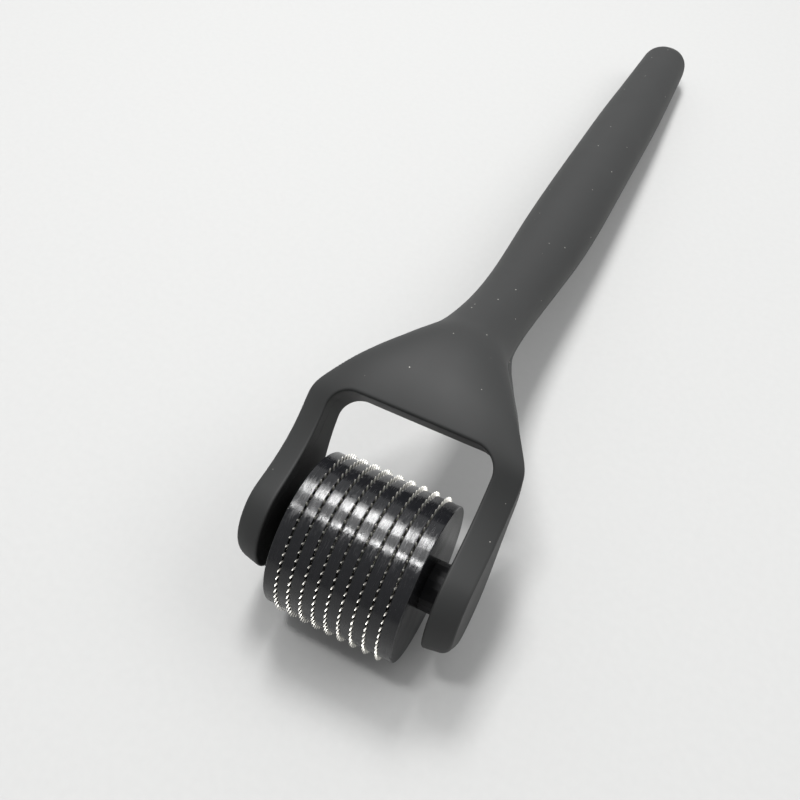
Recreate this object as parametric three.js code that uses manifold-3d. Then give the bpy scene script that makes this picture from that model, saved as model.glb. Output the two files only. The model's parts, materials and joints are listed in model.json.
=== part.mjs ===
// A derma roller: a drum of needle discs that turns in the fork of a slim, arched handle.
// Millimetres. +Z is up, the drum is towards -Y and the handle's tail towards +Y. The roller lies
// as it does on a table, on its needle tips and on the underside of its tail.

import * as THREE from 'three';
import { mergeVertices } from 'three/addons/utils/BufferGeometryUtils.js';
import Module from 'manifold-3d';

const wasm = await Module();
wasm.setup();

// ---- Driving dimensions ----

// Drum
const RING_RADIUS = 10;
const DISC_COUNT = 9;
const NEEDLES_PER_DISC = 60;
const NEEDLE_HEIGHT = 0.5;
const NEEDLE_ROOT_DEPTH = 0.5;
const DISC_PITCH = 1.65;
const DISC_THICKNESS = 0.25;
const CAP_RIM_WIDTH = 1.68;
const HUB_ACROSS_CORNERS = 13;
const HUB_SIDES = 6;
const STACK_GAP = 0.02;

// Axle and bushes
const AXLE_RADIUS = 1.5;
const RUNNING_CLEARANCE = 0.06;
const AXLE_HALF_LENGTH = 12.9;
const BUSH_RADIUS = 2.2;
const BUSH_FLANGE_RADIUS = 3.2;
const BUSH_DEPTH = 4;

// Handle and fork
const OVERALL_LENGTH = 154;
const FORK_TILT = THREE.MathUtils.degToRad(30);
const ARM_GAP_HALF = 10.8;
const ARM_OUTSIDE_HALF = 14.2;
const BOSS_RADIUS = 8.2;
const BOSS_CENTRE = [0.7, 0.9];
const BOSS_DROP = 1.55;
const TIP_ROUNDING = 0.2;
const WINDOW_TOP = 17.2;
const WINDOW_CORNER_RADIUS = 3;
const COVER_LIP = 0.5;
const PARTING_GAP = 0.3;
const WALL = 1.7;
const CAVITY_START = 28;
const CAVITY_END = 138;
const BORE_DEPTH = 2.4;
const BORE_CLEARANCE = 0.1;
const OUTLINE_COLUMNS = 6;

// Past every edge of the handle, for the shapes that cut it.
const FAR = 80;

const TIP_RADIUS = RING_RADIUS + NEEDLE_HEIGHT;
const DRUM_STEP_HALF = ((DISC_COUNT - 1) / 2) * DISC_PITCH;
const STACK_HALF = DRUM_STEP_HALF + DISC_THICKNESS / 2 + STACK_GAP;
const DRUM_HALF = STACK_HALF + CAP_RIM_WIDTH;

// ---- Materials ----

function plastic(color, roughness) {
  return new THREE.MeshStandardMaterial({ color, roughness, metalness: 0 });
}

const softTouch = plastic(0x1c1d1e, 0.62);
const glossBlack = plastic(0x0c0c0e, 0.18);
const bushPlastic = plastic(0x16171a, 0.45);
const needleSteel = new THREE.MeshStandardMaterial({ color: 0xd9d6cf, roughness: 0.28, metalness: 1 });
const axleSteel = new THREE.MeshStandardMaterial({ color: 0xb9bbbd, roughness: 0.3, metalness: 1 });

// ---- Solids: joins and cuts ----

function toSolid(geometry) {
  const bare = geometry.clone();
  bare.deleteAttribute('normal');
  bare.deleteAttribute('uv');
  const merged = mergeVertices(bare, 1e-4);
  return new wasm.Manifold(new wasm.Mesh({
    numProp: 3,
    vertProperties: new Float32Array(merged.attributes.position.array),
    triVerts: new Uint32Array(merged.index.array),
  }));
}

function toGeometry(solid) {
  const mesh = solid.getMesh();
  const geometry = new THREE.BufferGeometry();
  geometry.setAttribute('position', new THREE.BufferAttribute(mesh.vertProperties, 3));
  geometry.setIndex(new THREE.BufferAttribute(mesh.triVerts, 1));
  geometry.computeVertexNormals();
  return geometry;
}

// A shape drawn in the Y-Z plane, extruded along X from xStart over the given width.
function extrudeAlongX(shape, xStart, width) {
  const geometry = new THREE.ExtrudeGeometry(shape, { depth: width, bevelEnabled: false });
  const axes = new THREE.Matrix4().set(0, 0, 1, xStart, 1, 0, 0, 0, 0, 1, 0, 0, 0, 0, 0, 1);
  return geometry.applyMatrix4(axes);
}

// A profile of [radius, x] points turned about the X axis.
function turnAboutX(profile, segments) {
  const points = profile.map(([radius, x]) => new THREE.Vector2(radius, x));
  return new THREE.LatheGeometry(points, segments).rotateZ(-Math.PI / 2);
}

// ---- Drum ----

function polygonPath(PathClass, sides, radius, phase = 0) {
  const path = new PathClass();
  const corners = Array.from({ length: sides }, (_, i) => {
    const angle = phase + (i / sides) * 2 * Math.PI;
    return new THREE.Vector2(radius * Math.cos(angle), radius * Math.sin(angle));
  });
  path.setFromPoints(corners);
  return path;
}

// Teeth alternate between tip and root; one tooth points straight down.
function starShape(teeth, tipRadius, rootRadius) {
  const corners = Array.from({ length: 2 * teeth }, (_, i) => {
    const radius = i % 2 === 0 ? tipRadius : rootRadius;
    const angle = -Math.PI / 2 + (i / (2 * teeth)) * 2 * Math.PI;
    return new THREE.Vector2(radius * Math.cos(angle), radius * Math.sin(angle));
  });
  return new THREE.Shape(corners);
}

function keyedHole(clearance) {
  return polygonPath(THREE.Path, HUB_SIDES, HUB_ACROSS_CORNERS / 2 + clearance);
}

function needleDisc() {
  const shape = starShape(NEEDLES_PER_DISC, TIP_RADIUS, RING_RADIUS - NEEDLE_ROOT_DEPTH);
  shape.holes.push(keyedHole(RUNNING_CLEARANCE));
  return extrudeAlongX(shape, -DISC_THICKNESS / 2, DISC_THICKNESS);
}

function spacerRing() {
  const width = DISC_PITCH - DISC_THICKNESS - 2 * STACK_GAP;
  const shape = polygonPath(THREE.Shape, NEEDLES_PER_DISC, RING_RADIUS);
  shape.holes.push(keyedHole(RUNNING_CLEARANCE));
  return extrudeAlongX(shape, -width / 2, width);
}

function drumHub() {
  const shape = polygonPath(THREE.Shape, HUB_SIDES, HUB_ACROSS_CORNERS / 2);
  const bore = polygonPath(THREE.Path, 24, BUSH_RADIUS + RUNNING_CLEARANCE);
  shape.holes.push(bore);
  return extrudeAlongX(shape, -STACK_HALF, 2 * STACK_HALF);
}

// The cap is a thick washer whose rim closes the stack; its outer edge is chamfered.
function endCap() {
  const chamfer = 0.25;
  const inner = BUSH_RADIUS + RUNNING_CLEARANCE;
  const profile = [
    [inner, STACK_GAP],
    [RING_RADIUS, STACK_GAP],
    [RING_RADIUS, CAP_RIM_WIDTH - chamfer],
    [RING_RADIUS - chamfer, CAP_RIM_WIDTH],
    [inner, CAP_RIM_WIDTH],
    [inner, STACK_GAP],
  ];
  return turnAboutX(profile, NEEDLES_PER_DISC);
}

// A flanged bush: the sleeve sits in the cap and hub, the flange runs against the arm.
function bush() {
  const bore = AXLE_RADIUS + RUNNING_CLEARANCE;
  const flangeEnd = ARM_GAP_HALF - 0.3;
  const profile = [
    [bore, DRUM_HALF - BUSH_DEPTH],
    [BUSH_RADIUS, DRUM_HALF - BUSH_DEPTH],
    [BUSH_RADIUS, DRUM_HALF + STACK_GAP],
    [BUSH_FLANGE_RADIUS, DRUM_HALF + STACK_GAP],
    [BUSH_FLANGE_RADIUS, flangeEnd],
    [bore, flangeEnd],
    [bore, DRUM_HALF - BUSH_DEPTH],
  ];
  return turnAboutX(profile, 24);
}

function axlePin() {
  const chamfer = 0.3;
  const profile = [
    [0, -AXLE_HALF_LENGTH],
    [AXLE_RADIUS - chamfer, -AXLE_HALF_LENGTH],
    [AXLE_RADIUS, -AXLE_HALF_LENGTH + chamfer],
    [AXLE_RADIUS, AXLE_HALF_LENGTH - chamfer],
    [AXLE_RADIUS - chamfer, AXLE_HALF_LENGTH],
    [0, AXLE_HALF_LENGTH],
  ];
  return turnAboutX(profile, 24);
}

// ---- Handle and fork ----
// The handle's outer skin is a row of cross-sections. Each section has a front point and a back point in
// the Y-Z plane (measured from the axle), a half width, and how far the front and back surfaces fall from
// the middle to the side edge. Across the width the fall follows drop * (1 - (1 - t^p)^(1/q)), t = x / half
// width: p = 4, q = 1 is the flat head with its crisp side edge, p = q = 2.2 is the rounded handle.

// A point of the fork's own plane: `along` runs from the axle towards the handle, `above` is square to it.
function forkPoint(along, above) {
  return [
    along * Math.cos(FORK_TILT) - above * Math.sin(FORK_TILT),
    along * Math.sin(FORK_TILT) + above * Math.cos(FORK_TILT),
  ];
}

function section(front, back, halfWidth, frontDrop, backDrop, p, q) {
  return { front, back, halfWidth, frontDrop, backDrop, p, q };
}

// The rounded end of the arms: a boss about the axle.
function bossSections() {
  const steps = 9;
  const lastAngle = THREE.MathUtils.degToRad(100);
  const roundedAngle = THREE.MathUtils.degToRad(40);
  const [centreAlong, centreAbove] = BOSS_CENTRE;
  return Array.from({ length: steps + 1 }, (_, i) => {
    const turned = (i / steps) * lastAngle;
    const along = centreAlong - BOSS_RADIUS * Math.cos(turned);
    const rise = BOSS_RADIUS * Math.sin(turned);
    const front = forkPoint(along, centreAbove + rise);
    const back = forkPoint(along, centreAbove - rise);
    const inset = TIP_ROUNDING * Math.max(0, 1 - turned / roundedAngle) ** 2;
    return section(front, back, ARM_OUTSIDE_HALF - inset, BOSS_DROP, BOSS_DROP, 4, 1);
  });
}

const armSections = [
  section(forkPoint(5.6, 7.6), forkPoint(5.4, -5.9), ARM_OUTSIDE_HALF, 2.1, 1.7, 4, 1),
  section(forkPoint(9.6, 6.6), forkPoint(8.8, -3.7), ARM_OUTSIDE_HALF, 2.6, 1.8, 4, 1),
  section(forkPoint(13.4, 6.45), forkPoint(12.4, -1.9), ARM_OUTSIDE_HALF, 2.65, 1.9, 4, 1),
];

const neckSections = [
  section([10.1, 13.8], [13.6, 6.2], 14.15, 2.65, 1.9, 4, 1),
  section([11.9, 14.8], [15.2, 7.2], 13.55, 2.65, 1.9, 4, 1),
  section([13.8, 15.5], [16.8, 8.1], 12.4, 2.6, 2.0, 3.8, 1.05),
  section([16.4, 16.15], [18.6, 8.85], 11.05, 2.45, 2.3, 3.5, 1.2),
  section([19.6, 16.25], [20.7, 8.95], 9.4, 2.6, 2.7, 2.8, 1.4),
  section([23.0, 16.1], [22.9, 8.7], 7.8, 3.15, 3.1, 2.3, 1.5),
  section([27.0, 15.0], [25.8, 7.4], 6.25, 3.35, 3.2, 2.05, 1.7),
  section([31.5, 12.6], [29.6, 4.6], 5.2, 3.85, 3.55, 2.0, 1.9),
];

const handleSections = [
  section([37.8, 10.2], [35.9, 2.1], 4.75, 4.1, 3.9, 2.2, 2.1),
  section([45.9, 7.9], [44.2, -1.0], 4.75, 4.5, 4.3, 2.2, 2.2),
  section([55.0, 6.2], [53.7, -3.4], 5.15, 4.8, 4.7, 2.2, 2.2),
  section([65.0, 4.8], [64.3, -5.5], 5.8, 5.0, 5.0, 2.2, 2.2),
  section([76.0, 4.0], [75.6, -6.7], 5.95, 5.3, 5.1, 2.2, 2.2),
  section([88.0, 3.0], [87.5, -7.5], 5.85, 5.2, 5.1, 2.2, 2.2),
  section([100.0, 1.9], [99.5, -8.4], 5.75, 5.1, 5.0, 2.2, 2.2),
  section([112.0, 0.6], [111.5, -9.4], 5.65, 4.9, 4.9, 2.2, 2.2),
  section([124.0, -0.7], [123.7, -10.2], 5.25, 4.7, 4.6, 2.2, 2.2),
  section([133.0, -1.4], [132.8, -10.45], 4.95, 4.5, 4.4, 2.2, 2.2),
  section([139.0, -1.9], [138.9, -10.48], 4.7, 4.25, 4.15, 2.2, 2.2),
];

const CHANNELS = ['halfWidth', 'frontDrop', 'backDrop', 'p', 'q'];

// A smooth row of sections through the given ones, `steps` to each interval.
function interpolate(sections, steps) {
  const curve = (pick) => new THREE.CatmullRomCurve3(sections.map(pick), false, 'catmullrom', 0.5);
  const ends = curve((s) => new THREE.Vector3(s.front[0], s.front[1], 0));
  const backs = curve((s) => new THREE.Vector3(s.back[0], s.back[1], 0));
  const values = CHANNELS.map((name) => curve((s) => new THREE.Vector3(s[name], 0, 0)));
  const count = (sections.length - 1) * steps;
  return Array.from({ length: count + 1 }, (_, i) => {
    const u = i / count;
    const front = ends.getPoint(u);
    const back = backs.getPoint(u);
    const row = { front: [front.x, front.y], back: [back.x, back.y] };
    CHANNELS.forEach((name, k) => {
      row[name] = values[k].getPoint(u).x;
    });
    row.halfWidth = Math.min(row.halfWidth, ARM_OUTSIDE_HALF);
    return row;
  });
}

// Unit normals of a line of Y-Z points, turned to point from the front line towards the back line.
function inwardNormals(line, side) {
  return line.map((_, i) => {
    const ahead = line[Math.min(i + 1, line.length - 1)];
    const behind = line[Math.max(i - 1, 0)];
    const dy = ahead[0] - behind[0];
    const dz = ahead[1] - behind[1];
    const size = Math.hypot(dy, dz);
    return [(side * dz) / size, (-side * dy) / size];
  });
}

function withNormals(rows) {
  const frontNormals = inwardNormals(rows.map((row) => row.front), 1);
  const backNormals = inwardNormals(rows.map((row) => row.back), -1);
  // At the boss tip both lines meet, and both normals run along the fork.
  frontNormals[0] = forkPoint(1, 0);
  backNormals[0] = forkPoint(1, 0);
  return rows.map((row, i) => ({ ...row, frontNormal: frontNormals[i], backNormal: backNormals[i] }));
}

// The tail closes in a rounded end: sections that shrink along a quarter ellipse.
function tailSections(last, previous) {
  const steps = 5;
  const middle = last.front.map((value, k) => (value + last.back[k]) / 2);
  const before = previous.front.map((value, k) => (value + previous.back[k]) / 2);
  const run = Math.hypot(middle[0] - before[0], middle[1] - before[1]);
  const direction = middle.map((value, k) => (value - before[k]) / run);
  const capLength = OVERALL_LENGTH - TIP_RADIUS - middle[0];
  const blunt = 0.98;
  return Array.from({ length: steps }, (_, i) => {
    const angle = ((i + 1) / steps) * (Math.PI / 2) * blunt;
    const shrink = Math.cos(angle);
    const reach = Math.sin(angle) * capLength;
    const centre = middle.map((value, k) => value + direction[k] * reach);
    const place = (end) => centre.map((value, k) => value + (end[k] - middle[k]) * shrink);
    return {
      ...last,
      front: place(last.front),
      back: place(last.back),
      halfWidth: last.halfWidth * shrink,
      frontDrop: last.frontDrop * shrink,
      backDrop: last.backDrop * shrink,
    };
  });
}

function handleRows() {
  const boss = bossSections();
  const shaped = [...boss.slice(-2), ...armSections, ...neckSections, ...handleSections];
  const smooth = interpolate(shaped, 2).slice(2);
  const rows = withNormals([...boss.slice(0, -1), ...smooth]);
  return [...rows, ...tailSections(rows[rows.length - 1], rows[rows.length - 2])];
}

function fall(row, t, drop) {
  return drop * (1 - (1 - Math.abs(t) ** row.p) ** (1 / row.q));
}

// The closed outline of one section, from the left edge over the front and back under the handle.
function sectionOutline(row, columns) {
  const across = Array.from({ length: 2 * columns + 1 }, (_, i) => Math.sin(((i / columns - 1) * Math.PI) / 2));
  const front = across.map((t) => {
    const sink = fall(row, t, row.frontDrop);
    return new THREE.Vector3(
      t * row.halfWidth,
      row.front[0] + row.frontNormal[0] * sink,
      row.front[1] + row.frontNormal[1] * sink,
    );
  });
  const back = across.map((t) => {
    const sink = fall(row, t, row.backDrop);
    return new THREE.Vector3(
      t * row.halfWidth,
      row.back[0] + row.backNormal[0] * sink,
      row.back[1] + row.backNormal[1] * sink,
    );
  });
  return [...front, ...back.reverse()];
}

// A closed solid through a row of outlines of equal length, with both ends closed by a fan.
function loft(outlines) {
  const count = outlines[0].length;
  const positions = outlines.flat().flatMap((point) => [point.x, point.y, point.z]);
  const index = [];
  for (let i = 0; i + 1 < outlines.length; i += 1) {
    for (let j = 0; j < count; j += 1) {
      const next = (j + 1) % count;
      const a = i * count + j;
      const b = i * count + next;
      const c = (i + 1) * count + next;
      const d = (i + 1) * count + j;
      index.push(a, b, c, a, c, d);
    }
  }
  const last = (outlines.length - 1) * count;
  for (let j = 1; j + 1 < count; j += 1) {
    index.push(0, j + 1, j);
    index.push(last, last + j, last + j + 1);
  }
  const geometry = new THREE.BufferGeometry();
  geometry.setAttribute('position', new THREE.Float32BufferAttribute(positions, 3));
  geometry.setIndex(index);
  return geometry;
}

function skinSolid(rows) {
  return toSolid(loft(rows.map((row) => sectionOutline(row, OUTLINE_COLUMNS))));
}

function shiftedPoint(point, normal, distance) {
  return [point[0] + normal[0] * distance, point[1] + normal[1] * distance];
}

// The part of the handle's length that is hollow, with walls of even thickness.
function cavitySolid(rows) {
  const hollow = rows.filter((row) => row.front[0] > CAVITY_START && row.front[0] < CAVITY_END);
  const inner = hollow.map((row) => ({
    ...row,
    front: shiftedPoint(row.front, row.frontNormal, WALL),
    back: shiftedPoint(row.back, row.backNormal, WALL),
    halfWidth: row.halfWidth - WALL,
    frontDrop: row.frontDrop - WALL,
    backDrop: row.backDrop - WALL,
  }));
  return skinSolid(inner);
}

// The opening between the arms, square to the fork's plane, with rounded corners at its top.
function windowSolid() {
  const shape = new THREE.Shape();
  const corner = WINDOW_CORNER_RADIUS;
  shape.moveTo(-ARM_GAP_HALF, -FAR);
  shape.lineTo(ARM_GAP_HALF, -FAR);
  shape.lineTo(ARM_GAP_HALF, WINDOW_TOP - corner);
  shape.absarc(ARM_GAP_HALF - corner, WINDOW_TOP - corner, corner, 0, Math.PI / 2, false);
  shape.lineTo(corner - ARM_GAP_HALF, WINDOW_TOP);
  shape.absarc(corner - ARM_GAP_HALF, WINDOW_TOP - corner, corner, Math.PI / 2, Math.PI, false);
  shape.closePath();
  const geometry = new THREE.ExtrudeGeometry(shape, { depth: FAR, bevelEnabled: false, curveSegments: 5 });
  return toSolid(geometry.translate(0, 0, -FAR / 2).rotateX(FORK_TILT));
}

// The line in the Y-Z plane where the front cover meets the back frame, just behind the side crease.
// `gap` moves it towards the back.
function partingLine(rows, gap) {
  const line = rows.map((row) => {
    const frontEdge = shiftedPoint(row.front, row.frontNormal, row.frontDrop);
    const backEdge = shiftedPoint(row.back, row.backNormal, row.backDrop);
    const across = [backEdge[0] - frontEdge[0], backEdge[1] - frontEdge[1]];
    const height = across[0] * row.frontNormal[0] + across[1] * row.frontNormal[1];
    const share = height > 0 ? Math.min(0.5, COVER_LIP / height) : 0;
    const meeting = frontEdge.map((value, k) => value + across[k] * share);
    return shiftedPoint(meeting, row.frontNormal, gap);
  });
  const tipEdge = BOSS_CENTRE[0] - BOSS_RADIUS + BOSS_DROP;
  const outside = forkPoint(-FAR, BOSS_CENTRE[1] - gap);
  const tip = forkPoint(tipEdge + gap, BOSS_CENTRE[1] - gap);
  const end = line[line.length - 1];
  return [outside, tip, ...line.slice(1), [end[0] + FAR, end[1]]];
}

function regionSolid(line, farHeight) {
  const points = line.map(([y, z]) => new THREE.Vector2(y, z));
  const first = line[0];
  const last = line[line.length - 1];
  points.push(new THREE.Vector2(last[0], farHeight), new THREE.Vector2(first[0], farHeight));
  return toSolid(extrudeAlongX(new THREE.Shape(points), -FAR / 2, FAR));
}

function boreSolid(side) {
  const mouth = ARM_GAP_HALF - 1;
  const bottom = ARM_GAP_HALF + BORE_DEPTH;
  const radius = AXLE_RADIUS + BORE_CLEARANCE;
  const bore = turnAboutX([[0, mouth], [radius, mouth], [radius, bottom], [0, bottom]], 24);
  return toSolid(side > 0 ? bore : bore.rotateY(Math.PI));
}

function handleShells() {
  const rows = handleRows();
  const body = skinSolid(rows).subtract(windowSolid()).subtract(cavitySolid(rows));
  const cover = body.intersect(regionSolid(partingLine(rows, 0), 2 * FAR));
  const frame = body.intersect(regionSolid(partingLine(rows, PARTING_GAP), -2 * FAR));
  return {
    cover: toGeometry(cover),
    frame: toGeometry(frame.subtract(boreSolid(1)).subtract(boreSolid(-1))),
  };
}

// ---- Assembly ----

function named(name, geometry, material) {
  const mesh = new THREE.Mesh(geometry, material);
  mesh.name = name;
  return mesh;
}

function drumAssembly() {
  const drum = new THREE.Group();
  drum.add(named('drum_hub', drumHub(), bushPlastic));
  for (let i = 0; i < DISC_COUNT; i += 1) {
    const disc = named(`needle_disc_${i + 1}`, needleDisc(), needleSteel);
    disc.position.x = i * DISC_PITCH - DRUM_STEP_HALF;
    drum.add(disc);
  }
  for (let i = 0; i + 1 < DISC_COUNT; i += 1) {
    const ring = named(`spacer_ring_${i + 1}`, spacerRing(), glossBlack);
    ring.position.x = (i + 0.5) * DISC_PITCH - DRUM_STEP_HALF;
    drum.add(ring);
  }
  for (const [side, turn] of [['right', 0], ['left', Math.PI]]) {
    const cap = named(`end_cap_${side}`, endCap().translate(DRUM_HALF - CAP_RIM_WIDTH, 0, 0), glossBlack);
    const sleeve = named(`bush_${side}`, bush(), bushPlastic);
    cap.rotation.y = turn;
    sleeve.rotation.y = turn;
    drum.add(cap, sleeve);
  }
  return drum;
}

const roller = new THREE.Group();
const shells = handleShells();
roller.add(
  named('front_cover', shells.cover, softTouch),
  named('back_frame', shells.frame, softTouch),
  named('axle', axlePin(), axleSteel),
  drumAssembly(),
);
// The origin is under the middle of the roller, on the surface that it lies on.
roller.position.set(0, TIP_RADIUS - OVERALL_LENGTH / 2, TIP_RADIUS);

export default roller;
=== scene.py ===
"""Looks for the derma roller: a soft-touch black handle whose fork carries a drum of needle discs.

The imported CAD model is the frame. Handle and drum are rebuilt here with fine edges on its main
dimensions, and ride on the CAD bodies "handle" and "drum". The axle, hub and bushes stay as the CAD has them.
"""

import json
import math

import bmesh
import bpy
import numpy as np
from mathutils import Matrix, Vector
from mathutils.geometry import delaunay_2d_cdt


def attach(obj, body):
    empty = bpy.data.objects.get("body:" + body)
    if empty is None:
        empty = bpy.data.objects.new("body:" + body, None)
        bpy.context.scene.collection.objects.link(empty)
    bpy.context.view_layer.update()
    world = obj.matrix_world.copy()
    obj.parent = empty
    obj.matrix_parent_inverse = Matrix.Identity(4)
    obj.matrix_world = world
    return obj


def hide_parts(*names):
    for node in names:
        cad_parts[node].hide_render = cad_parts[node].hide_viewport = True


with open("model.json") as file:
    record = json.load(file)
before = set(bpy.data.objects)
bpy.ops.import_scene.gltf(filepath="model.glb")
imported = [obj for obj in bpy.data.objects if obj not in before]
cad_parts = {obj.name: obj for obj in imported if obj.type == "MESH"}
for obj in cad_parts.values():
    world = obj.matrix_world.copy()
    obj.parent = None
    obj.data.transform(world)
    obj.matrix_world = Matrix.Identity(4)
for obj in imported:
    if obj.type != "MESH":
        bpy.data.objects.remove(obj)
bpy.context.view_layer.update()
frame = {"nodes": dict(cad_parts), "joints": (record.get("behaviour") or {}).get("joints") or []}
AXLE = np.array(frame["joints"][0]["pos_m"])
MM = 0.001

# ---- Handle dimensions, in millimetres from the axle ----

FORK_TILT = math.radians(30)
ARM_GAP_HALF = 10.8
ARM_OUTSIDE_HALF = 14.2
BOSS_RADIUS = 8.2
BOSS_CENTRE = (0.7, 0.9)
BOSS_DROP = 1.55
BOSS_POWER = 4
BOSS_TURN = math.radians(100)
WINDOW_TOP = 17.2
WINDOW_CORNER = 3.0
TAIL_END = 143.49
COVER_LIP = 0.5

# The arms' tips: a little narrower, nearly straight across, with a rounded outer corner.
TIP_ROUNDING = 0.2
TIP_ROUNDING_TURN = math.radians(40)
TIP_DROP = 1.1
TIP_POWER = 0.5
TIP_CORNER = 1.4
TIP_CORNER_LENGTH = 7.0

# Edge radii, and the seam between cover and frame.
SIDE_ROUND = 0.2
WINDOW_ROUND = 0.35
SEAM_GAP = 0.035
SEAM_DEPTH = 0.3

# Cross-sections from the arms to the tail: front point y, z; back point y, z; half width; how far
# the front and the back fall to the side edge; and the two powers of the fall, p and q.
SECTIONS = [
    (10.1, 13.8, 13.6, 6.2, 14.15, 2.65, 1.9, 4, 1),
    (11.9, 14.8, 15.2, 7.2, 13.55, 2.65, 1.9, 4, 1),
    (13.8, 15.5, 16.8, 8.1, 12.4, 2.6, 2.0, 3.8, 1.05),
    (16.4, 16.15, 18.6, 8.85, 11.05, 2.45, 2.3, 3.5, 1.2),
    (19.6, 16.25, 20.7, 8.95, 9.4, 2.6, 2.7, 2.8, 1.4),
    (23.0, 16.1, 22.9, 8.7, 7.8, 3.15, 3.1, 2.3, 1.5),
    (27.0, 15.0, 25.8, 7.4, 6.25, 3.35, 3.2, 2.05, 1.7),
    (31.5, 12.6, 29.6, 4.6, 5.2, 3.85, 3.55, 2.0, 1.9),
    (37.8, 10.2, 35.9, 2.1, 4.75, 4.1, 3.9, 2.2, 2.1),
    (45.9, 7.9, 44.2, -1.0, 4.75, 4.5, 4.3, 2.2, 2.2),
    (55.0, 6.2, 53.7, -3.4, 5.15, 4.8, 4.7, 2.2, 2.2),
    (65.0, 4.8, 64.3, -5.5, 5.8, 5.0, 5.0, 2.2, 2.2),
    (76.0, 4.0, 75.6, -6.7, 5.95, 5.3, 5.1, 2.2, 2.2),
    (88.0, 3.0, 87.5, -7.5, 5.85, 5.2, 5.1, 2.2, 2.2),
    (100.0, 1.9, 99.5, -8.4, 5.75, 5.1, 5.0, 2.2, 2.2),
    (112.0, 0.6, 111.5, -9.4, 5.65, 4.9, 4.9, 2.2, 2.2),
    (124.0, -0.7, 123.7, -10.2, 5.25, 4.7, 4.6, 2.2, 2.2),
    (133.0, -1.4, 132.8, -10.45, 4.95, 4.5, 4.4, 2.2, 2.2),
    (139.0, -1.9, 138.9, -10.48, 4.7, 4.25, 4.15, 2.2, 2.2),
]
# The same for the arms, with the front and back points given along and above the fork's plane.
ARM_SECTIONS = [
    (5.6, 7.6, 5.4, -5.9, 14.2, 2.1, 1.7, 4, 1),
    (9.6, 6.6, 8.8, -3.7, 14.2, 2.6, 1.8, 4, 1),
    (13.4, 6.45, 12.4, -1.9, 14.2, 2.65, 1.9, 4, 1),
]

# How the rows of sections are smoothed: over a short reach near the arms, a long one on the handle.
FINE_SMOOTHING = 1.2
FINE_START = -5.0
FINE_BLEND = 4.0
BROAD_SMOOTHING = 5.0
BROAD_START = 28.0
BROAD_BLEND = 12.0

# ---- Drum dimensions, in millimetres ----

RING_RADIUS = 10.0
RING_INNER = 7.0
RING_EDGE = 0.04
RING_CROWN = 0.004
CAP_EDGE = 0.12
CAP_HOLE = 2.4
DRUM_HALF = 8.425
SLOT_HALF = 0.12

DISC_COUNT = 9
DISC_PITCH = 1.65
# Thinner than the CAD's discs, which leaves a narrow slot on each side.
DISC_HALF_THICK = 0.075
DISC_HOLE = 6.8
DISC_EDGE = 8.9
NEEDLES_PER_DISC = 60
NEEDLE_TIP = 10.5
# A needle from root to tip: radius, half width around the drum, half width along the axle.
NEEDLE_STATIONS = [
    (DISC_EDGE, 0.14, DISC_HALF_THICK),
    (RING_RADIUS - 0.05, 0.12, DISC_HALF_THICK),
    (RING_RADIUS + 0.25, 0.095, 0.07),
    (NEEDLE_TIP - 0.06, 0.05, 0.05),
    (NEEDLE_TIP, 0.015, 0.015),
]

# ---- Mesh fineness ----

CRISP_ANGLE = math.radians(42)
ROW_SPACING = 0.2
BOSS_ROWS = 90
SPLINE_STEPS = 60
HALF_COLUMNS = 28
HEAD_LENGTH = 42.0
HEAD_ROW = 0.4
HANDLE_ROW = 1.0
RIM_OFFSETS = (0.0, 0.03, 0.08, 0.15, 0.24, 0.35, 0.52, 0.72)
RIM_CLEARANCE = 0.12
OPENING_REACH = 45.0
TIP_ROWS = 60
DRUM_SEGMENTS = 240


# ---- Small helpers ----

def fork_point(along, above):
    """A point of the fork's plane: `along` runs from the axle to the handle, `above` is square to it."""
    c, s = math.cos(FORK_TILT), math.sin(FORK_TILT)
    return along * c - above * s, along * s + above * c


def fork_along(y, z):
    return y * math.cos(FORK_TILT) + z * math.sin(FORK_TILT)


def fork_above(y, z):
    return z * math.cos(FORK_TILT) - y * math.sin(FORK_TILT)


def mesh_object(name, points, faces, material, body, smooth=True):
    """A mesh piece from points in millimetres about the axle, riding on a CAD body."""
    mesh = bpy.data.meshes.new(name)
    verts = np.asarray(points, float) * MM + AXLE
    mesh.from_pydata(verts.tolist(), [], [list(f) for f in faces])
    bm = bmesh.new()
    bm.from_mesh(mesh)
    bmesh.ops.remove_doubles(bm, verts=bm.verts, dist=2e-7)
    bmesh.ops.dissolve_degenerate(bm, edges=bm.edges, dist=1e-8)
    bmesh.ops.recalc_face_normals(bm, faces=bm.faces)
    bm.to_mesh(mesh)
    bm.free()
    if smooth:
        mesh.shade_smooth()
        mesh.set_sharp_from_angle(angle=CRISP_ANGLE)
    mesh.materials.append(material)
    piece = bpy.data.objects.new(name, mesh)
    bpy.context.scene.collection.objects.link(piece)
    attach(piece, body)
    return piece


# ---- Handle: the row of cross-sections ----

def boss_row(turned):
    """The section of the arm's round end after turning this far from its tip."""
    along = BOSS_CENTRE[0] - BOSS_RADIUS * math.cos(turned)
    rise = BOSS_RADIUS * math.sin(turned)
    front = fork_point(along, BOSS_CENTRE[1] + rise)
    back = fork_point(along, BOSS_CENTRE[1] - rise)
    tip = max(0.0, 1 - turned / TIP_ROUNDING_TURN) ** 2
    half_width = ARM_OUTSIDE_HALF - TIP_ROUNDING * tip
    drop = BOSS_DROP + (TIP_DROP - BOSS_DROP) * tip
    power = BOSS_POWER + (TIP_POWER - BOSS_POWER) * tip
    return (*front, *back, half_width, drop, drop, power, 1)


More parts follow.
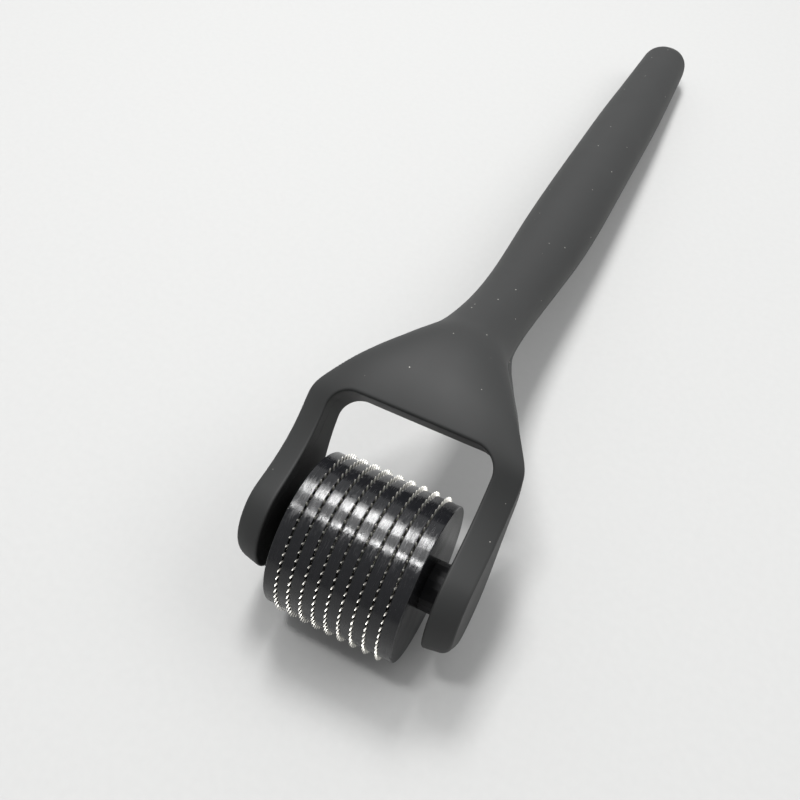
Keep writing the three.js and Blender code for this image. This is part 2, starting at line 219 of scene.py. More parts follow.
def spline(knots, steps):
    """A uniform Catmull-Rom curve through the rows of `knots`."""
    knots = np.asarray(knots, float)
    padded = np.vstack([2 * knots[0] - knots[1], knots, 2 * knots[-1] - knots[-2]])
    rows = []
    for i in range(len(knots) - 1):
        a, b, c, d = padded[i:i + 4]
        for u in np.arange(steps) / steps:
            rows.append(0.5 * (2 * b + (c - a) * u + (2 * a - 5 * b + 4 * c - d) * u ** 2
                               + (3 * b - a - 3 * c + d) * u ** 3))
    rows.append(knots[-1])
    return np.array(rows)


def smoothed(rows, sigma):
    """Rows at even spacing, averaged over a Gaussian of `sigma` rows, with the ends held."""
    reach = int(3 * sigma)
    weights = np.exp(-0.5 * (np.arange(-reach, reach + 1) / sigma) ** 2)
    weights /= weights.sum()
    head = 2 * rows[0] - rows[reach:0:-1]
    tail = 2 * rows[-1] - rows[-2:-reach - 2:-1]
    padded = np.vstack([head, rows, tail])
    return np.stack([np.convolve(column, weights, mode="valid") for column in padded.T], axis=1)


def arc_lengths(rows):
    front = np.hypot(np.diff(rows[:, 0]), np.diff(rows[:, 1]))
    back = np.hypot(np.diff(rows[:, 2]), np.diff(rows[:, 3]))
    return np.concatenate([[0.0], np.cumsum((front + back) / 2)])


def blend_in(lengths, start, reach):
    """0 before `start`, rising to 1 over `reach`, as a column."""
    return np.clip((lengths - start) / reach, 0, 1)[:, None]


def handle_table():
    """Rows at even spacing from the boss's tip to the start of the tail's cap: [s, nine values]."""
    boss = np.array([boss_row(BOSS_TURN * i / BOSS_ROWS) for i in range(BOSS_ROWS + 1)])
    knots = [boss_row(BOSS_TURN * 8 / 9), boss_row(BOSS_TURN)]
    knots += [(*fork_point(*r[0:2]), *fork_point(*r[2:4]), *r[4:]) for r in ARM_SECTIONS]
    knots += SECTIONS
    rows = np.vstack([boss[:-1], spline(knots, SPLINE_STEPS)[SPLINE_STEPS:]])
    lengths = arc_lengths(rows)
    even = np.arange(0, lengths[-1], ROW_SPACING)
    past_boss = even - lengths[BOSS_ROWS]
    rows = np.stack([np.interp(even, lengths, column) for column in rows.T], axis=1)
    fine = smoothed(rows, FINE_SMOOTHING / ROW_SPACING)
    broad = smoothed(rows, BROAD_SMOOTHING / ROW_SPACING)
    rows = rows + (fine - rows) * blend_in(past_boss, FINE_START, FINE_BLEND)
    rows = rows + (broad - rows) * blend_in(past_boss, BROAD_START, BROAD_BLEND)
    rows[:, 4] = np.minimum(rows[:, 4], ARM_OUTSIDE_HALF)
    return np.column_stack([even, rows])


def line_normals(points, side):
    """Unit normals of a line of y-z points, turned into the material."""
    slope = np.gradient(points, axis=0)
    size = np.hypot(slope[:, 0], slope[:, 1])
    return np.stack([side * slope[:, 1] / size, -side * slope[:, 0] / size], axis=1)


class Skin:
    """The handle's outer surface: a point for each side, length s and sideways place x."""

    def __init__(self, table):
        self.s = table[:, 0]
        self.rows = table[:, 1:]
        tip = np.array(fork_point(1, 0))
        self.normals = {}
        for name, first, turn in (("front", 0, 1), ("back", 2, -1)):
            normal = line_normals(self.rows[:, first:first + 2], turn)
            normal[0] = tip
            self.normals[name] = normal

    def value(self, column, s):
        return np.interp(s, self.s, self.rows[:, column])

    def half_width(self, s):
        return self.value(4, s)

    def side_round(self, s):
        return SIDE_ROUND * np.clip(2 - self.value(8, s), 0, 1)

    def bare(self, side, s, x):
        """The surface before its edges are rounded: y, z and the inward normal."""
        first, drop_column = (0, 5) if side == "front" else (2, 6)
        y, z = self.value(first, s), self.value(first + 1, s)
        ny = np.interp(s, self.s, self.normals[side][:, 0])
        nz = np.interp(s, self.s, self.normals[side][:, 1])
        p, q = self.value(7, s), self.value(8, s)
        t = np.clip(np.abs(x) / self.half_width(s), 0, 1)
        sink = self.value(drop_column, s) * (1 - (1 - t ** p) ** (1 / q))
        return y + ny * sink, z + nz * sink, ny, nz

    def point(self, side, s, x):
        s, x = np.broadcast_arrays(np.asarray(s, float), np.asarray(x, float))
        y, z, ny, nz = self.bare(side, s, x)
        tip = TIP_CORNER * np.clip(1 - s / TIP_CORNER_LENGTH, 0, 1) ** 2
        edge = rounding(self.half_width(s) - np.abs(x), self.side_round(s) + tip)
        rim = rounding(window_distance(x, fork_along(y, z)), WINDOW_ROUND)
        return np.stack([x, y + ny * (edge + rim), z + nz * (edge + rim)], axis=-1)

    def find_s(self, side, x, along):
        """The length s at which the surface at this x reaches a given place along the fork."""
        head = self.s[self.s < OPENING_REACH]
        reach = fork_along(*self.bare(side, head, np.full_like(head, x))[:2])
        start = int(np.argmin(reach[:TIP_ROWS]))
        return float(np.interp(along, reach[start:], head[start:]))


def rounding(distance, radius):
    """How far a surface sinks near an edge that is rounded with this radius."""
    radius = np.maximum(radius, 1e-6)
    inside = np.clip(radius - distance, 0, radius)
    return radius - np.sqrt(radius ** 2 - inside ** 2)


def window_distance(x, along):
    """Distance from the opening between the arms, measured in the fork's plane."""
    dx = np.abs(x) - (ARM_GAP_HALF - WINDOW_CORNER)
    da = along - (WINDOW_TOP - WINDOW_CORNER)
    corner = np.hypot(np.maximum(dx, 0), np.maximum(da, 0)) - WINDOW_CORNER
    flat = np.maximum(dx, da) - WINDOW_CORNER
    return np.where((dx > 0) & (da > 0), corner, flat)


# ---- Handle: sheets, walls and seam ----

def column_shares():
    return np.sin(np.linspace(-1, 1, 2 * HALF_COLUMNS + 1) * math.pi / 2)


def window_line(skin, side, offset):
    """The opening's edge, or a line at an even distance outside it, as rows of s and x."""
    corner = WINDOW_TOP - WINDOW_CORNER
    edge_x = ARM_GAP_HALF + offset
    corner_s = skin.find_s(side, edge_x, corner)
    count = int(corner_s / HEAD_ROW)
    half = [(s, edge_x) for s in np.linspace(0, corner_s, count + 1)[:-1]]
    turn_steps = 14
    radius = WINDOW_CORNER + offset
    for i in range(turn_steps + 1):
        turn = math.pi / 2 * i / turn_steps
        x = ARM_GAP_HALF - WINDOW_CORNER + radius * math.cos(turn)
        half.append((skin.find_s(side, x, corner + radius * math.sin(turn)), x))
    top_steps = 18
    top_x = (ARM_GAP_HALF - WINDOW_CORNER) * (1 - np.arange(1, top_steps + 1) / top_steps)
    half += [(skin.find_s(side, x, WINDOW_TOP + offset), x) for x in top_x]
    right = np.array(half)
    left = right[-2::-1] * (1, -1)
    return np.vstack([right, left])


def head_rows():
    return np.linspace(0, HEAD_LENGTH, int(HEAD_LENGTH / HEAD_ROW) + 1)


def head_sheet(skin, side):
    """The front or back of arms and neck: a fine sheet with the opening cut out of it."""
    rows = head_rows()
    shares = column_shares()
    lines = [window_line(skin, side, offset) for offset in RIM_OFFSETS]
    edge = lines[0]
    points, loop = [], []

    def add(x, s, on_loop=False):
        points.append((float(x), float(s)))
        if on_loop:
            loop.append(len(points) - 1)

    for s, x in edge:
        add(x, s, True)
    start_shares = np.linspace(0, 1, 10)[1:-1]
    start_width = float(skin.half_width(0.0))
    for share in start_shares:
        add(-(ARM_GAP_HALF + (start_width - ARM_GAP_HALF) * share), 0.0, True)
    for s in rows[:-1]:
        add(-skin.half_width(s), s, True)
    end_width = float(skin.half_width(rows[-1]))
    for share in shares:
        add(end_width * share, rows[-1], True)
    for s in rows[-2::-1]:
        add(skin.half_width(s), s, True)
    for share in start_shares[::-1]:
        add(ARM_GAP_HALF + (start_width - ARM_GAP_HALF) * share, 0.0, True)
    for line in lines[1:]:
        for s, x in line:
            if s > 1e-6:
                add(x, s)
    for s in rows[1:-1]:
        x = skin.half_width(s) * shares[1:-1]
        y, z = skin.bare(side, np.full_like(x, s), x)[:2]
        keep = window_distance(x, fork_along(y, z)) > RIM_OFFSETS[-1] + RIM_CLEARANCE
        for value in x[keep]:
            add(value, s)
    result = delaunay_2d_cdt([Vector(p) for p in points], [], [loop], 1, 1e-6)
    flat = np.array([tuple(v) for v in result[0]])
    return skin.point(side, flat[:, 1], flat[:, 0]), [tuple(f) for f in result[2]]


def tail_rows(skin, steps=22):
    """Points of the closing end: the last section, shrunk along a quarter ellipse."""
    last = skin.s[-1]
    front = skin.point("front", last, skin.half_width(last) * column_shares())
    back = skin.point("back", last, skin.half_width(last) * column_shares())
    middle = (front[HALF_COLUMNS] + back[HALF_COLUMNS]) / 2
    before = (skin.point("front", last - 2, 0.0) + skin.point("back", last - 2, 0.0)) / 2
    direction = middle - before
    direction /= direction[1]
    rows = []
    for i in range(1, steps + 1):
        turn = math.pi / 2 * i / steps
        centre = middle + direction * math.sin(turn) * (TAIL_END - middle[1])
        shrink = math.cos(turn)
        rows.append((centre + (front - middle) * shrink, centre + (back - middle) * shrink))
    return rows


def grid_faces(start, rows, columns):
    faces = []
    for i in range(rows - 1):
        for j in range(columns - 1):
            a = start + i * columns + j
            faces.append((a, a + 1, a + columns + 1, a + columns))
    return faces


class MeshParts:
    """Collects points and faces; the points that coincide are merged when the piece is made."""

    def __init__(self):
        self.points = []
        self.faces = []
        self.count = 0

    def add(self, points, faces):
        points = np.asarray(points, float).reshape(-1, 3)
        self.points.append(points)
        self.faces += [tuple(i + self.count for i in f) for f in faces]
        self.count += len(points)

    def add_grid(self, grid):
        """A strip or sheet from an array of rows by columns by xyz."""
        grid = np.asarray(grid, float)
        self.add(grid, grid_faces(0, grid.shape[0], grid.shape[1]))

    def make(self, name, material, body):
        return mesh_object(name, np.vstack(self.points), self.faces, material, body)


def seam_between(front, back, lip):
    """The two edges of the seam on a wall that runs from the front points to the back points."""
    drop = back - front
    height = np.linalg.norm(drop, axis=-1, keepdims=True)
    unit = drop / np.maximum(height, 1e-9)
    upper = np.minimum(lip, height * 0.5)
    lower = np.minimum(upper + SEAM_GAP, height)
    return front + unit * upper, front + unit * lower


def wall_grid(start, end, steps):
    share = np.linspace(0, 1, steps + 1)[None, :, None]
    return start[:, None, :] + (end - start)[:, None, :] * share


def handle_pieces(material):
    skin = Skin(handle_table())
    cover, back_frame = MeshParts(), MeshParts()
    shares = column_shares()
    columns = len(shares)
    head_s = head_rows()
    rest_s = np.append(np.arange(HEAD_LENGTH, skin.s[-1] - 0.3 * HANDLE_ROW, HANDLE_ROW), skin.s[-1])
    tail = tail_rows(skin)
    edges = {}
    for side, part, index in (("front", cover, 0), ("back", back_frame, 1)):
        part.add(*head_sheet(skin, side))
        grid = [skin.point(side, s, skin.half_width(s) * shares) for s in rest_s]
        grid += [row[index] for row in tail]
        part.add_grid(grid)
        head_edge = [skin.point(side, s, skin.half_width(s) * np.array([-1.0, 1.0])) for s in head_s]
        edges[side] = np.array(head_edge + [row[[0, columns - 1]] for row in grid[1:]])
    for column, sign in ((0, -1.0), (1, 1.0)):
        front, back = edges["front"][:, column], edges["back"][:, column]
        upper, lower = seam_between(front, back, COVER_LIP - SIDE_ROUND)
        ledge = np.array([-sign * SEAM_DEPTH, 0, 0])
        inward = ledge * np.clip(np.abs(front[:, :1]) / SEAM_DEPTH - 1, 0, 1)
        cover.add_grid(np.stack([front, upper, upper + inward], axis=1))
        groove = (lower + inward)[:, None]
        back_frame.add_grid(np.concatenate([groove, wall_grid(lower, back, 4)], axis=1))
    add_window_walls(skin, cover, back_frame)
    return (cover.make("handle_cover_skin", material, "handle"),
            back_frame.make("handle_back_skin", material, "handle"))


def add_window_walls(skin, cover, back_frame):
    """The walls of the opening, from the front sheet's edge to the back sheet's edge."""
    front_line = window_line(skin, "front", 0.0)
    back_line = window_line(skin, "back", 0.0)
    front = skin.point("front", front_line[:, 0], front_line[:, 1])
    back = skin.point("back", back_line[:, 0], back_line[:, 1])
    back = matched_along(front, back, skin, back_line)
    part_y, part_z = parting_line(skin)
    part_along = fork_along(part_y, part_z)
    start = int(np.argmin(part_along[:TIP_ROWS]))
    above = np.interp(fork_along(front[:, 1], front[:, 2]), part_along[start:],
                      fork_above(part_y, part_z)[start:])
    front_above = fork_above(front[:, 1], front[:, 2])
    back_above = fork_above(back[:, 1], back[:, 2])
    height = np.maximum(front_above - back_above, 1e-6)
    share = np.clip((front_above - above) / height, 0.02, 0.98)[:, None]
    gap = np.minimum(SEAM_GAP / height, 0.02)[:, None]
    upper = front + (back - front) * share
    lower = front + (back - front) * (share + gap)
    outward = window_outward(front) * SEAM_DEPTH
    ledge, groove = (upper + outward)[:, None], (lower + outward)[:, None]
    cover.add_grid(np.concatenate([wall_grid(front, upper, 3), ledge], axis=1))
    back_frame.add_grid(np.concatenate([groove, wall_grid(lower, back, 5)], axis=1))


def matched_along(front, back, skin, back_line):
    """Back edge points, one for each front edge point, at the same place around the opening."""
    def travel(points):
        flat = np.stack([points[:, 0], fork_along(points[:, 1], points[:, 2])], axis=1)
        return np.concatenate([[0.0], np.cumsum(np.hypot(*np.diff(flat, axis=0).T))])
    a, b = travel(front), travel(back)
    a, b = a / a[-1], b / b[-1]
    s = np.interp(a, b, back_line[:, 0])
    x = np.interp(a, b, back_line[:, 1])
    return skin.point("back", s, x)


def window_outward(points):
    """Unit vectors away from the opening, in the fork's plane."""
    x, along = points[:, 0], fork_along(points[:, 1], points[:, 2])
    step = 0.01
    dx = window_distance(x + step, along) - window_distance(x - step, along)
    da = window_distance(x, along + step) - window_distance(x, along - step)
    size = np.maximum(np.hypot(dx, da), 1e-9)
    dy, dz = fork_point(da / size, 0 * da)
    return np.stack([dx / size, dy, dz], axis=1)


def parting_line(skin):
    """Where cover and frame meet, in the y-z plane, for the head."""
    s = skin.s[skin.s < OPENING_REACH]
    width = skin.half_width(s)
    front_y, front_z, normal_y, normal_z = skin.bare("front", s, width)
    back_y, back_z = skin.bare("back", s, width)[:2]
    drop_y, drop_z = back_y - front_y, back_z - front_z
    height = drop_y * normal_y + drop_z * normal_z
    share = np.minimum(0.5, COVER_LIP / np.maximum(height, 1e-6))
    return front_y + drop_y * share, front_z + drop_z * share


# ---- Drum ----

def supported(profile, reach=0.03):
    """A closed profile with extra points just inside the ends of its long sides, for flat shading."""
    points = []
    for a, b in zip(profile, profile[1:] + profile[:1]):
        a, b = np.array(a), np.array(b)
        points.append(a)
        length = np.hypot(*(b - a))
        if length > 8 * reach:
            points += [a + (b - a) * reach / length, b - (b - a) * reach / length]
    return np.array(points)


def lathe(profile, segments):
    """A closed profile of (x, radius) points turned about the axle: points and faces."""
    turns = np.arange(segments) / segments * 2 * math.pi
    profile = supported(profile)
    points = [(x, r * math.cos(a), r * math.sin(a)) for a in turns for x, r in profile]
    count = len(profile)
    faces = []
    for i in range(segments):
        for j in range(count):
            a, b = i * count + j, i * count + (j + 1) % count
            c, d = ((i + 1) % segments) * count + (j + 1) % count, ((i + 1) % segments) * count + j
            faces.append((a, b, c, d))
    return points, faces


def ring_profile(start, end):
    """A ring's section: rounded edges and an outer face slightly higher in its middle."""
    middle, half = (start + end) / 2, (end - start) / 2 - RING_EDGE
    outer = [(x, RING_RADIUS - RING_CROWN * (x / half) ** 2) for x in np.linspace(-half, half, 9)]
    low = RING_RADIUS - RING_CROWN - RING_EDGE
    corner = [(half + RING_EDGE * math.sin(a), low + RING_EDGE * math.cos(a))
              for a in np.linspace(0, math.pi / 2, 5)[1:]]
    right = corner + [(half + RING_EDGE, RING_INNER)]
    left = [(-x, radius) for x, radius in reversed(right)]
    return [(middle + x, radius) for x, radius in left + outer + right]


def drum_pieces(gloss, end_gloss, steel):
    """Rings, end caps and needle discs, each standing for its CAD node."""
    first_disc = -(DISC_COUNT - 1) / 2 * DISC_PITCH
    for i in range(DISC_COUNT - 1):
        start = first_disc + i * DISC_PITCH + SLOT_HALF
        points, faces = lathe(ring_profile(start, start + DISC_PITCH - 2 * SLOT_HALF), DRUM_SEGMENTS)
        piece = mesh_object(f"gloss_ring_{i + 1}", points, faces, gloss, "drum")
        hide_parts(f"spacer_ring_{i + 1}")
    for name, sign in (("left", -1), ("right", 1)):
        profile = cap_profile(SLOT_HALF - first_disc, DRUM_HALF)
        points, faces = lathe([(sign * x, r) for x, r in profile], DRUM_SEGMENTS)
        piece = mesh_object(f"gloss_cap_{name}", points, faces, gloss, "drum")
        piece.data.materials.append(end_gloss)
        for face in piece.data.polygons:
            faces_out = face.normal.x * sign > 0.98
            face.material_index = int(faces_out)
        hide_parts(f"end_cap_{name}")
    for i in range(DISC_COUNT):
        piece = needle_disc(f"needles_{i + 1}", first_disc + i * DISC_PITCH, steel)
        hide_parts(f"needle_disc_{i + 1}")


def cap_profile(inner_x, outer_x):
    """The drum's end: a turned rim, a rounded outer edge and a flat end with the bush's hole."""
    inner = [(inner_x, CAP_HOLE), (inner_x, RING_RADIUS - RING_EDGE), (inner_x + RING_EDGE, RING_RADIUS)]
    x, radius = outer_x - CAP_EDGE, RING_RADIUS - CAP_EDGE
    rounded = [(x + CAP_EDGE * math.sin(a), radius + CAP_EDGE * math.cos(a))
               for a in np.linspace(0, math.pi / 2, 6)]
    return inner + rounded + [(outer_x, CAP_HOLE)]


def needle_disc(name, x, steel):
    """A thin steel disc with a ring of fine, ground needles."""
    left, right = x - DISC_HALF_THICK, x + DISC_HALF_THICK
    profile = [(left, DISC_HOLE), (left, DISC_EDGE), (right, DISC_EDGE), (right, DISC_HOLE)]
    points, faces = lathe(profile, NEEDLES_PER_DISC * 2)
    for k in range(NEEDLES_PER_DISC):
        angle = 2 * math.pi * k / NEEDLES_PER_DISC
        radial = np.array([0, -math.cos(angle), math.sin(angle)])
        around = np.array([0, math.sin(angle), math.cos(angle)])
        start = len(points)
        for radius, half, thick in NEEDLE_STATIONS:
            for side, depth in ((-1, -1), (1, -1), (1, 1), (-1, 1)):
                p = radial * radius + around * half * side
                points.append((x + depth * thick, p[1], p[2]))
        for i in range(len(NEEDLE_STATIONS) - 1):
            for j in range(4):
                a, b = start + 4 * i + j, start + 4 * i + (j + 1) % 4
                faces.append((a, b, b + 4, a + 4))
        last = start + 4 * (len(NEEDLE_STATIONS) - 1)
        faces.append((start, start + 1, start + 2, start + 3))
        faces.append((last, last + 1, last + 2, last + 3))
    return mesh_object(name, points, faces, steel, "drum", smooth=False)


# ---- Materials ----

def set_range(node, low, high, to_low, to_high):
    values = {"From Min": low, "From Max": high, "To Min": to_low, "To Max": to_high}
    for name, number in values.items():
        node.inputs[name].default_value = number


class Shader:
    """A Principled material and short ways to add nodes to it."""

    def __init__(self, name):
        self.material = bpy.data.materials.new(name)
        self.material.use_nodes = True
        self.tree = self.material.node_tree
        self.principled = self.tree.nodes["Principled BSDF"]
        self.place = self.node("ShaderNodeTexCoord").outputs["Object"]

    def node(self, kind, **settings):
        node = self.tree.nodes.new(kind)
        for key, value in settings.items():
            setattr(node, key, value)
        return node

    def link(self, source, target):
        self.tree.links.new(source, target)

    def set(self, **values):
        for key, value in values.items():
            self.principled.inputs[key.replace("_", " ")].default_value = value

    def scaled(self, scale):
        """Object coordinates multiplied by a scale for each axis."""
        mapping = self.node("ShaderNodeMapping")
        mapping.inputs["Scale"].default_value = scale
        self.link(self.place, mapping.inputs["Vector"])
        return mapping.outputs["Vector"]

    def noise(self, vector, scale=1.0, detail=3.0, roughness=0.5):
        noise = self.node("ShaderNodeTexNoise")
        noise.inputs["Scale"].default_value = scale
        noise.inputs["Detail"].default_value = detail
        noise.inputs["Roughness"].default_value = roughness
        self.link(vector, noise.inputs["Vector"])
        return noise.outputs["Fac"]

    def ramp(self, value, low, high, to_low, to_high):
        ramp = self.node("ShaderNodeMapRange")
        set_range(ramp, low, high, to_low, to_high)
        self.link(value, ramp.inputs["Value"])
        return ramp.outputs["Result"]

    def math(self, operation, first, second):
        node = self.node("ShaderNodeMath", operation=operation)
        for socket, value in zip(node.inputs, (first, second)):
            if isinstance(value, (int, float)):
                socket.default_value = value
            else:
                self.link(value, socket)
        return node.outputs[0]

    def mix(self, factor, first, second):
        node = self.node("ShaderNodeMix", data_type="RGBA")
        self.link(factor, node.inputs["Factor"])
        for name, value in (("A", first), ("B", second)):
            socket = [s for s in node.inputs if s.name == name and s.type == "RGBA"][0]
            if isinstance(value, tuple):
                socket.default_value = (*value, 1)
            else:
                self.link(value, socket)
        return [s for s in node.outputs if s.type == "RGBA"][0]

    def bump(self, height, distance, strength=1.0, under=None):
        bump = self.node("ShaderNodeBump")
        bump.inputs["Distance"].default_value = distance
        bump.inputs["Strength"].default_value = strength
        self.link(height, bump.inputs["Height"])
        if under is not None:
            self.link(under, bump.inputs["Normal"])
        return bump.outputs["Normal"]

    def side_share(self):
        """1 on faces turned about the axle, 0 on the flat ends."""
        parts = self.node("ShaderNodeSeparateXYZ")
        self.link(self.node("ShaderNodeTexCoord").outputs["Normal"], parts.inputs["Vector"])
        return self.ramp(self.math("ABSOLUTE", parts.outputs["X"], 0.0), 0.6, 0.9, 1.0, 0.0)

    def specks(self, scale, size, share):
        """1 on a few small dots, 0 elsewhere."""
        cells = self.node("ShaderNodeTexVoronoi")
        cells.inputs["Scale"].default_value = scale
        self.link(self.place, cells.inputs["Vector"])
        near = self.ramp(cells.outputs["Distance"], size * scale, size * scale * 0.6, 0.0, 1.0)
        pick = self.node("ShaderNodeSeparateColor")
        self.link(cells.outputs["Color"], pick.inputs["Color"])
        chosen = self.math("LESS_THAN", pick.outputs["Red"], share)
        return self.math("MULTIPLY", near, chosen)


def soft_touch_material():
    shader = Shader("soft_touch_black")
    shader.set(Roughness=0.6, Specular_IOR_Level=0.36)
    tone = shader.ramp(shader.noise(shader.place, 45, 1), 0.3, 0.7, 0.0, 1.0)
    base = shader.mix(tone, (0.0200, 0.0205, 0.0203), (0.0218, 0.0223, 0.0220))
    dust = shader.specks(900, 0.00011, 0.12)
    shader.link(shader.mix(dust, base, (0.42, 0.41, 0.38)), shader.principled.inputs["Base Color"])
    grain = shader.noise(shader.place, 5200, 3, 0.6)
    rough = shader.ramp(shader.noise(shader.place, 160, 2), 0.3, 0.7, 0.59, 0.62)
    shader.link(rough, shader.principled.inputs["Roughness"])
    shader.link(shader.bump(grain, 0.000012, 0.5), shader.principled.inputs["Normal"])
    return shader.material


def gloss_material():
    shader = Shader("gloss_black_turned")
    shader.set(Specular_IOR_Level=0.4)
    streaks = shader.noise(shader.scaled((6500, 750, 750)), 1.0, 4, 0.65)
    patches = shader.noise(shader.place, 1000, 3, 0.6)
    base = shader.mix(patches, (0.0070, 0.0074, 0.0086), (0.0135, 0.0135, 0.0152))
    dust = shader.specks(1200, 0.00006, 0.05)
    shader.link(shader.mix(dust, base, (0.5, 0.49, 0.46)), shader.principled.inputs["Base Color"])
    side = shader.side_share()
    turned = shader.math("MULTIPLY", shader.ramp(streaks, 0.42, 0.62, 0.0, 0.20), side)
    clouded = shader.ramp(patches, 0.42, 0.62, 0.05, 0.14)
    shader.link(shader.math("ADD", turned, clouded), shader.principled.inputs["Roughness"])
    swell = shader.bump(shader.math("MULTIPLY", patches, side), 0.00002, 0.6)
    lines = shader.math("MULTIPLY", streaks, side)
    shader.link(shader.bump(lines, 0.000016, 0.8, swell), shader.principled.inputs["Normal"])
    return shader.material


def gloss_end_material():
    shader = Shader("gloss_black_end")
    shader.set(Specular_IOR_Level=0.05)
    patches = shader.noise(shader.place, 220, 1)
    base = shader.mix(patches, (0.0060, 0.0062, 0.0070), (0.0110, 0.0110, 0.0120))
    dust = shader.specks(1200, 0.00006, 0.05)
    shader.link(shader.mix(dust, base, (0.5, 0.49, 0.46)), shader.principled.inputs["Base Color"])
    shader.link(shader.ramp(patches, 0.3, 0.7, 0.16, 0.24), shader.principled.inputs["Roughness"])
    shader.link(shader.bump(patches, 0.00001, 0.3), shader.principled.inputs["Normal"])
    return shader.material


def satin_material():
    shader = Shader("satin_black")
    shader.set(Roughness=0.42, Specular_IOR_Level=0.2)
    patches = shader.noise(shader.place, 600, 3)
    shader.link(shader.mix(patches, (0.003, 0.003, 0.004), (0.007, 0.007, 0.008)),
                shader.principled.inputs["Base Color"])
    shader.link(shader.ramp(patches, 0.3, 0.7, 0.36, 0.5), shader.principled.inputs["Roughness"])
    shader.link(shader.bump(patches, 0.00001, 0.4), shader.principled.inputs["Normal"])
    return shader.material


def needle_material():
    shader = Shader("needle_steel_bright")
    shader.set(Metallic=1.0)
    tone = shader.noise(shader.place, 2600, 3)
    shader.link(shader.mix(tone, (0.80, 0.78, 0.72), (0.94, 0.92, 0.86)),
                shader.principled.inputs["Base Color"])
    shader.link(shader.ramp(tone, 0.3, 0.7, 0.40, 0.58), shader.principled.inputs["Roughness"])
    return shader.material


def axle_material():
    shader = Shader("axle_steel_ground")
    shader.set(Metallic=1.0)
    lines = shader.noise(shader.scaled((12000, 500, 500)), 1.0, 3)
    shader.link(shader.mix(lines, (0.42, 0.42, 0.43), (0.60, 0.60, 0.60)),
                shader.principled.inputs["Base Color"])
    shader.link(shader.ramp(lines, 0.3, 0.7, 0.2, 0.38), shader.principled.inputs["Roughness"])
    return shader.material


def floor_material():
    shader = Shader("pale_floor")
    shader.set(Roughness=0.75)
    tone = shader.noise(shader.place, 900, 4)
    shader.link(shader.mix(tone, (0.465, 0.465, 0.46), (0.495, 0.495, 0.488)),
                shader.principled.inputs["Base Color"])
    shader.link(shader.bump(tone, 0.00002, 0.3), shader.principled.inputs["Normal"])
    return shader.material


# ---- Studio ----

def look_along(location, direction, up):
    """A matrix at location whose -Z axis points along direction."""
    back = -Vector(direction).normalized()
    right = Vector(up).cross(back).normalized()
    rotation = Matrix((right, back.cross(right), back)).transposed().to_4x4()
    return Matrix.Translation(location) @ rotation


CAMERA_PLACE = (21.93, -42.29, 91.51)
CAMERA_BACK = (0.2503, -0.5637, 0.7872)
CAMERA_RIGHT = (0.8924, 0.4495, 0.0382)
CAMERA_LENS = 37.47


def add_camera():
    """The main view; CAMERA_PLACE is in millimetres from the axle."""
    data = bpy.data.cameras.new("camera")
    data.lens = CAMERA_LENS
    data.sensor_width = 36.0
    data.clip_start = 0.005
    camera = bpy.data.objects.new("camera", data)
    bpy.context.scene.collection.objects.link(camera)
    back = Vector(CAMERA_BACK).normalized()
    up = back.cross(Vector(CAMERA_RIGHT)).normalized()
    rotation = Matrix((up.cross(back), up, back)).transposed().to_4x4()
    place = Vector(CAMERA_PLACE) * MM + Vector(AXLE)
    camera.matrix_world = Matrix.Translation(place) @ rotation
    bpy.context.scene.camera = camera


def add_panel(name, direction, distance, width, height, radiance, spin=0.0):
    """A rectangular soft light, seen from the drum in this direction."""
    data = bpy.data.lights.new(name, "AREA")
    data.shape = "RECTANGLE"
    data.size, data.size_y = width, height
    data.energy = 4 * radiance * width * height
    light = bpy.data.objects.new(name, data)
    bpy.context.scene.collection.objects.link(light)
    away = Vector(direction).normalized()
    centre = Vector(AXLE) + away * distance
    light.matrix_world = look_along(centre, -away, (0, 1, 0)) @ Matrix.Rotation(spin, 4, "Z")


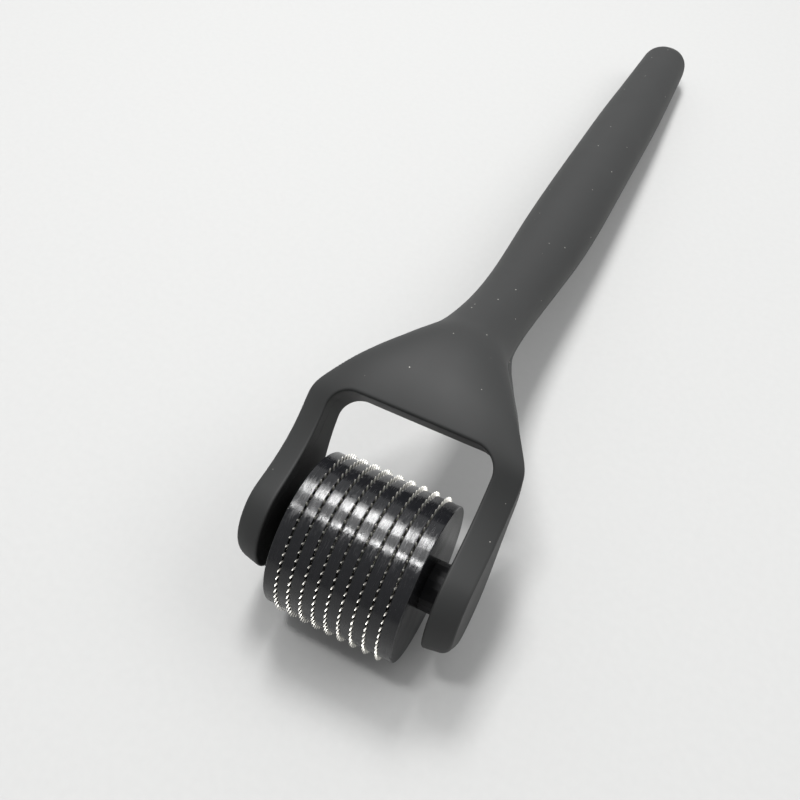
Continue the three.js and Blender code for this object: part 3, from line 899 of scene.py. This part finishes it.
def add_world():
    world = bpy.data.worlds.new("studio")
    bpy.context.scene.world = world
    world.use_nodes = True
    tree = world.node_tree
    background = tree.nodes["Background"]
    place = tree.nodes.new("ShaderNodeTexCoord").outputs["Generated"]
    parts = tree.nodes.new("ShaderNodeSeparateXYZ")
    tree.links.new(place, parts.inputs["Vector"])
    fade = tree.nodes.new("ShaderNodeMapRange")
    fade.interpolation_type = "SMOOTHSTEP"
    set_range(fade, -0.5, 0.6, 0.36, 0.8)
    tree.links.new(parts.outputs["Y"], fade.inputs["Value"])
    background.inputs["Color"].default_value = (0.98, 0.99, 1.0, 1)
    tree.links.new(fade.outputs["Result"], background.inputs["Strength"])


def add_floor():
    mesh = bpy.data.meshes.new("floor")
    size = 3.0
    mesh.from_pydata([(-size, -size, 0), (size, -size, 0), (size, size, 0), (-size, size, 0)], [],
                     [(0, 1, 2, 3)])
    mesh.materials.append(floor_material())
    floor = bpy.data.objects.new("floor", mesh)
    bpy.context.scene.collection.objects.link(floor)


# ---- Assembly ----

def dress_node(name, material):
    """Gives a CAD node that stays in view its material."""
    node = frame["nodes"][name]
    node.data.materials.clear()
    node.data.materials.append(material)


soft_touch = soft_touch_material()
gloss = gloss_material()
satin = satin_material()
steel = needle_material()

cover_skin, back_skin = handle_pieces(soft_touch)
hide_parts("front_cover")
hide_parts("back_frame")
drum_pieces(gloss, gloss_end_material(), steel)
for bushing in ("bush_left", "bush_right", "drum_hub"):
    dress_node(bushing, satin)
dress_node("axle", axle_material())

bpy.context.scene.view_settings.view_transform = "Standard"
add_floor()
add_world()
add_camera()
lean = math.radians(-8)
add_panel("upper_bar", (-0.23, 0.38, 0.89), 0.6, 0.13, 0.15, 27.0, lean)
add_panel("upper_glow", (-0.24, 0.53, 0.815), 0.6, 0.12, 0.065, 8.0, lean)
add_panel("lower_bar", (-0.20, -0.12, 0.97), 0.6, 0.10, 0.060, 50.0, lean)
add_panel("side_fill", (0.58, 0.38, 0.72), 0.9, 0.5, 0.5, 2.0)
add_panel("wide_panel", (-0.22, 0.12, 0.96), 0.75, 0.26, 0.30, 2.0, lean)
